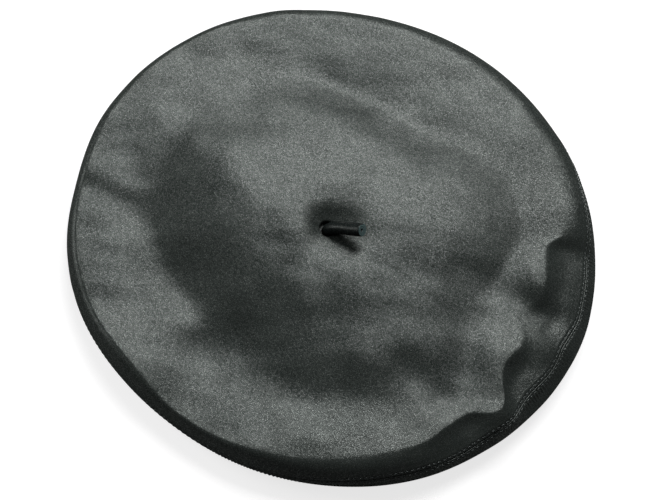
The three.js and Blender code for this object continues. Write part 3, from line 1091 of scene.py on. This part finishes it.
@dataclass
class StitchRow:
    """A row of machine stitches along a closed line, each a short bowed capsule of thread."""

    pitch: float = 3.0
    length: float = 2.45
    thread: float = 0.27
    bow: float = 0.2
    sunk: float = 0.1
    least_girth: float = 0.04
    sides: int = 6
    steps: int = 6

    def mesh(self, name: str, line: Array, normal: Array) -> Mesh:
        """Makes the row.

        Args:
            name: The mesh's name.
            line: Points along the closed line, in millimetres.
            normal: The outward normal at each of them.

        Returns:
            All its stitches as one mesh.
        """
        hop = np.linalg.norm(np.roll(line, -1, axis=0) - line, axis=1)
        travel = np.concatenate([[0.0], np.cumsum(hop)])
        closed = np.vstack([line, line[:1]])
        facing = np.vstack([normal, normal[:1]])
        count = round(travel[-1] / self.pitch)
        t = np.linspace(0.0, 1.0, self.steps)
        girth = np.sqrt(np.clip(1 - (2 * t - 1) ** 6, self.least_girth, 1.0)) * self.thread
        lift = self.bow * (1 - (2 * t - 1) ** 2) - self.thread * self.sunk
        corners = [FULL_TURN * corner / self.sides for corner in range(self.sides)]
        points = []
        faces = []
        for stitch in range(count):
            start = travel[-1] * stitch / count
            at = start + t * self.length
            spine, up = (
                np.stack([np.interp(at, travel, table[:, axis]) for axis in range(3)], axis=1)
                for table in (closed, facing)
            )
            up /= np.linalg.norm(up, axis=1, keepdims=True)
            side = np.cross(np.gradient(spine, axis=0), up)
            side /= np.linalg.norm(side, axis=1, keepdims=True)
            spine = spine + up * lift[:, None]
            first = len(points)
            for step in range(self.steps):
                for angle in corners:
                    out = side[step] * math.cos(angle) + up[step] * math.sin(angle)
                    points.append(spine[step] + out * girth[step])
            faces += grid_quads(self.steps, self.sides, first, False)
            faces.append(tuple(range(first, first + self.sides)))
            faces.append(tuple(range(len(points) - 1, len(points) - 1 - self.sides, -1)))
        return mesh_of(name, np.array(points), faces)


@dataclass
class RimSeam:
    """The two rows of topstitching that hold the crown and the under panel together."""

    form: BeretForm
    relief: SeamRelief
    row: StitchRow = field(default_factory=StitchRow)
    samples: int = 1440
    strip: float = 0.3

    def build(self, finishes: Finishes) -> None:
        """Sews one row on each side of the seam.

        Args:
            finishes: The materials.
        """
        degrees = round_steps(self.samples)
        section = self.form.section(degrees)
        offset = self.relief.stitch_offset
        rows = (("crown_stitches", offset, True), ("under_stitches", -offset, False))
        for name, distance, top_side in rows:
            turns = [self.form.seam_turn(section, distance + step) for step in (self.strip, 0.0, -self.strip)]
            strip = self.form.rim(degrees, np.stack(turns), top_side)
            normal = grid_normals(strip)[1:2]
            line = self.relief.laid_on(strip[1:2], normal, np.array([offset]), degrees, 0.0)
            piece = as_piece(self.row.mesh(name, line[0], normal[0]), finishes.thread)


@dataclass
class HeadBand:
    """The plain band turned up inside the head opening, with its fold rounded and one row of stitches."""

    columns: int = 240
    fold_steps: int = 6
    lean: float = 0.7
    wave: tuple[Wave, ...] = ((0.25, 5, 0), (0.25, 13, 1))
    edge_ease: float = 0.3
    outer_rows: tuple[float, ...] = (0.3, 0.6, 0.85)
    inner_rows: tuple[float, ...] = (0.15, 0.4, 0.7)
    stitch_height: float = 2.2
    stitch_samples: int = 900
    row: StitchRow = field(default_factory=lambda: StitchRow(pitch=3.4, length=2.7, bow=0.08))

    def profile(self) -> Array:
        """Takes the band's cross-section from the frame's own box.

        Returns:
            Its points as radius and height.
        """
        low, high = (np.array(corner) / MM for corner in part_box("head_band"))
        outer, bottom, half, ease = high[0], low[2], WALL / 2, self.edge_ease
        inner = outer - WALL
        fold = high[2] - half
        bends = np.linspace(0.0, math.pi, self.fold_steps)
        over = [(outer - half + half * math.cos(bend), fold + half * math.sin(bend)) for bend in bends]
        foot = [(inner + ease, bottom), (outer - ease, bottom), (outer, bottom + ease)]
        front = [(outer, mix(bottom, fold, share)) for share in self.outer_rows]
        back = [(inner, mix(fold, bottom, share)) for share in self.inner_rows]
        return np.array(foot + front + over + back + [(inner, bottom + ease)])

    def build(self, finishes: Finishes) -> None:
        """Builds and dresses the band.

        Args:
            finishes: The materials.
        """
        profile = self.profile()
        low = profile[:, 1].min()
        angle = np.radians(round_steps(self.columns))
        rise = (profile[:, 1] - low) / np.ptp(profile[:, 1])
        inward = self.lean + ripple(angle, self.wave)
        radius = profile[:, 0][:, None] - rise[:, None] ** 2 * inward[None, :]
        height = np.broadcast_to(profile[:, 1][:, None], radius.shape)
        ring = np.stack([radius * np.cos(angle), radius * np.sin(angle), height], axis=-1)
        faces = grid_quads(len(profile), self.columns, 0, True)
        last = (len(profile) - 1) * self.columns
        for column in range(self.columns):
            after = (column + 1) % self.columns
            faces.append((last + after, after, column, last + column))
        piece = as_piece(mesh_of("band_leather", ring, faces), finishes.band)
        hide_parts("head_band")
        self.sew(finishes, profile[:, 0].min(), low)

    def sew(self, finishes: Finishes, inner: float, low: float) -> None:
        """Sews one row along the inside of the band.

        Args:
            finishes: The materials.
            inner: The band's inner radius.
            low: The height of its lower edge.
        """
        angle = np.radians(round_steps(self.stitch_samples))
        out = np.stack([-np.cos(angle), -np.sin(angle), np.zeros_like(angle)], axis=-1)
        line = -out * inner
        line[:, 2] = low + self.stitch_height
        piece = as_piece(self.row.mesh("band_stitches", line, out), finishes.thread)


@dataclass
class Stalk:
    """The rolled strip of leather in the middle of the crown, with its cut end and its root underneath."""

    form: BeretForm
    radius: float = 3.85
    rise: float = 3.0
    lean: tuple[float, float, float] = (17.5, -3.0, 14.0)
    swelling: tuple[float, float, float] = (0.025, 9.0, 0.03)
    gap: float = 0.3
    strip: float = 1.0
    lap: float = 1.05
    core: float = 0.75
    turn_steps: int = 30
    steps: int = 34
    lap_angle: float = 100.0
    root_radius: float = 8.0
    root_thickness: float = 1.2
    root_sides: int = 48
    root_edge: float = 0.9
    hole_samples: int = 72

    def route(self) -> tuple[Vector, Vector, Vector, Vector]:
        """Bends the stalk up out of the crown and over.

        Returns:
            The four handles of its curve, from its root to the middle of its cut end.
        """
        edge = self.form.crown(round_steps(self.hole_samples), np.zeros(1))[..., 2]
        x, y = self.form.stalk_foot
        lean = Vector(self.lean)
        foot = Vector((x, y, edge.min() - WALL - self.gap - self.root_thickness))
        tip = Vector((x, y, edge.min())) + lean
        return foot, Vector((x, y, edge.max() + self.rise)), tip - lean / 2, tip

    def outline(self) -> Array:
        """Rolls up the strip.

        Returns:
            Its spiral outline round the middle of the stalk.
        """
        turns = (self.radius - self.strip / 2 - self.core) / self.lap
        angle = np.linspace(0.0, turns * FULL_TURN, int(turns * self.turn_steps))
        middle = self.core + self.lap * angle / FULL_TURN
        turned = angle - angle[-1] + math.radians(self.lap_angle)
        way = np.stack([np.cos(turned), np.sin(turned)], axis=-1)
        outer, inner = ((middle + half)[:, None] * way for half in (self.strip / 2, -self.strip / 2))
        return np.vstack([outer, inner[::-1]])

    def build(self, finishes: Finishes) -> None:
        """Builds and dresses the stalk.

        Args:
            finishes: The materials.
        """
        foot, first, second, tip = self.route()
        outline = self.outline()
        count = len(outline)
        last = self.steps * count
        height, waves, taper = self.swelling
        points = []
        side = Vector((1.0, 0.0, 0.0))
        for t in np.arange(self.steps + 1) / self.steps:
            at = foot * (1 - t) ** 3 + first * 3 * t * (1 - t) ** 2 + second * 3 * t**2 * (1 - t) + tip * t**3
            along = (first - foot) * (1 - t) ** 2 + (second - first) * 2 * t * (1 - t) + (tip - second) * t**2
            along.normalize()
            side = (side - along * side.dot(along)).normalized()
            across = along.cross(side)
            swell = 1 + height * math.sin(waves * t) - taper * t
            points += [at + (side * x + across * y) * swell for x, y in outline]
        faces = []
        for row in range(0, last, count):
            for corner in range(count):
                here, after = row + corner, row + (corner + 1) % count
                faces.append((here, after, after + count, here + count))
        for corner in range(count // 2 - 1):
            opposite = count - 1 - corner
            faces.append((corner, opposite, opposite - 1, corner + 1))
            faces.append((last + corner, last + corner + 1, last + opposite - 1, last + opposite))
        cuts = slice(last, len(faces))
        root_points, root_faces = self.root(foot, len(points))
        mesh = mesh_of("rolled_stalk", np.array(points + root_points), faces + root_faces)
        piece = as_piece(mesh, finishes.stalk, cuts)
        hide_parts("stalk")

    def root(self, foot: Vector, start: int) -> tuple[list[Vector], list[Face]]:
        """Makes the flat root.

        Args:
            foot: The middle of the root.
            start: The first point's number.

        Returns:
            Its points and its faces.
        """
        sides = self.root_sides
        half = self.root_thickness / 2
        profile = ((self.root_edge, -half), (1.0, -half / 2), (1.0, half / 2), (self.root_edge, half))
        points = []
        for scale, height in profile:
            reach = self.root_radius * scale
            for angle in np.radians(round_steps(sides)):
                points.append(foot + Vector((reach * math.cos(angle), reach * math.sin(angle), height)))
        faces = grid_quads(len(profile), sides, start, True)
        faces.append(tuple(range(start + sides - 1, start - 1, -1)))
        faces.append(tuple(range(start + 3 * sides, start + 4 * sides)))
        return points, faces


@dataclass
class Studio:
    """A pale floor, soft light from behind and above, and the camera at the photographed angle, in metres."""

    target: tuple[float, float, float] = (0.00133, -0.00886, 0.012)
    elevation: float = 61.7
    roll: float = 16.0
    distance: float = 1.0
    focal_pixels: float = 1885.0
    frame_pixels: float = 670.0
    sensor: float = 36.0
    floor_seen: Colour = (0.425, 0.4, 0.416)
    floor_glow: float = 0.75
    floor_met: Colour = (0.25, 0.25, 0.25)
    floor_half: float = 2.5
    sky: float = 0.1
    lamp_colour: Colour = (0.94, 1.0, 0.96)
    lamps: tuple[tuple[str, Colour, Pair, float], ...] = (
        ("back light", (0.05, 1.15, 1.43), (1.35, 0.9), 40.0),
        ("low back light", (0.0, 1.7, 0.8), (2.4, 0.7), 1.2),
        ("left light", (-1.7, 0.1, 0.75), (1.0, 0.8), 15.0),
    )

    def place_camera(self) -> None:
        """Makes the camera, looking along +Y and down, turned a little about its own line of sight."""
        up_tilt = math.radians(self.elevation)
        roll = math.radians(self.roll)
        back = Vector((0.0, -math.cos(up_tilt), math.sin(up_tilt)))
        right = Vector((1.0, 0.0, 0.0))
        up = back.cross(right)
        turned_right = right * math.cos(roll) + up * math.sin(roll)
        turned_up = up * math.cos(roll) - right * math.sin(roll)
        lens = bpy.data.cameras.new("camera")
        lens.sensor_width = self.sensor
        lens.lens = self.focal_pixels / self.frame_pixels * self.sensor
        camera = in_scene("camera", lens)
        stand = Matrix.Translation(Vector(self.target) + back * self.distance)
        camera.matrix_world = stand @ Matrix((turned_right, turned_up, back)).transposed().to_4x4()
        bpy.context.scene.camera = camera

    def soft_light(self, name: str, at: Colour, size: Pair, watts: float) -> None:
        """Adds a rectangular light that faces the beret.

        Args:
            name: The light's name.
            at: Where it stands.
            size: Its width and height.
            watts: Its power.
        """
        lamp = bpy.data.lights.new(name, "AREA")
        lamp.shape = "RECTANGLE"
        lamp.size, lamp.size_y = size
        lamp.energy = watts
        lamp.color = self.lamp_colour
        turned = Vector(at).to_track_quat("Z", "Y").to_matrix().to_4x4()
        in_scene(name, lamp).matrix_world = Matrix.Translation(at) @ turned

    def lay_floor(self) -> None:
        """Lays the pale floor."""
        half = self.floor_half
        corners = [(-half, -half, 0), (half, -half, 0), (half, half, 0), (-half, half, 0)]
        mesh = bpy.data.meshes.new("floor")
        mesh.from_pydata(corners, [], [(0, 1, 2, 3)])
        mesh.materials.append(self.floor_material())
        floor = in_scene("floor", mesh)

    def floor_material(self) -> Material:
        """Makes the pale floor: almost white to the eye, with a faint shadow, and duller to the leather.

        Returns:
            The material.
        """
        material, nodes = new_material("pale floor")
        seen = nodes.add("BsdfDiffuse", {"Color": (*self.floor_seen, 1.0)})
        glow = nodes.add("Emission", {"Color": (1.0, 1.0, 1.0, 1.0), "Strength": self.floor_glow})
        both = nodes.add("AddShader", {0: seen.outputs[0], 1: glow.outputs[0]})
        dull = nodes.add("BsdfDiffuse", {"Color": (*self.floor_met, 1.0)})
        eye = nodes.add("LightPath").outputs["Is Camera Ray"]
        surface = nodes.add("MixShader", {0: eye, 1: dull.outputs[0], 2: both.outputs[0]})
        nodes.add("OutputMaterial", {0: surface.outputs[0]})
        return material

    def light(self) -> None:
        """Sets the studio's light: bright from behind, soft from above, and a little all round."""
        world = bpy.data.worlds.new("studio")
        world.use_nodes = True
        sky = world.node_tree.nodes["Background"]
        sky.inputs["Color"].default_value = (1.0, 1.0, 1.0, 1.0)
        sky.inputs["Strength"].default_value = self.sky
        bpy.context.scene.world = world
        for name, at, size, watts in self.lamps:
            self.soft_light(name, at, size, watts)
        bpy.context.scene.view_settings.view_transform = "Standard"
        bpy.context.scene.view_settings.look = "None"

    def build(self) -> None:
        """Builds the whole studio."""
        self.place_camera()
        self.lay_floor()
        self.light()


def main() -> None:
    """Builds the studio and the beret."""
    logging.basicConfig(level=logging.INFO, format="%(name)s: %(message)s")
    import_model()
    Studio().build()
    finishes = Finishes()
    form = BeretForm()
    relief = SeamRelief()
    TopPanel(form, relief).build(finishes)
    UnderPanel(form, relief).build(finishes)
    RimSeam(form, relief).build(finishes)
    HeadBand().build(finishes)
    Stalk(form).build(finishes)


if __name__ == "__main__":
    main()
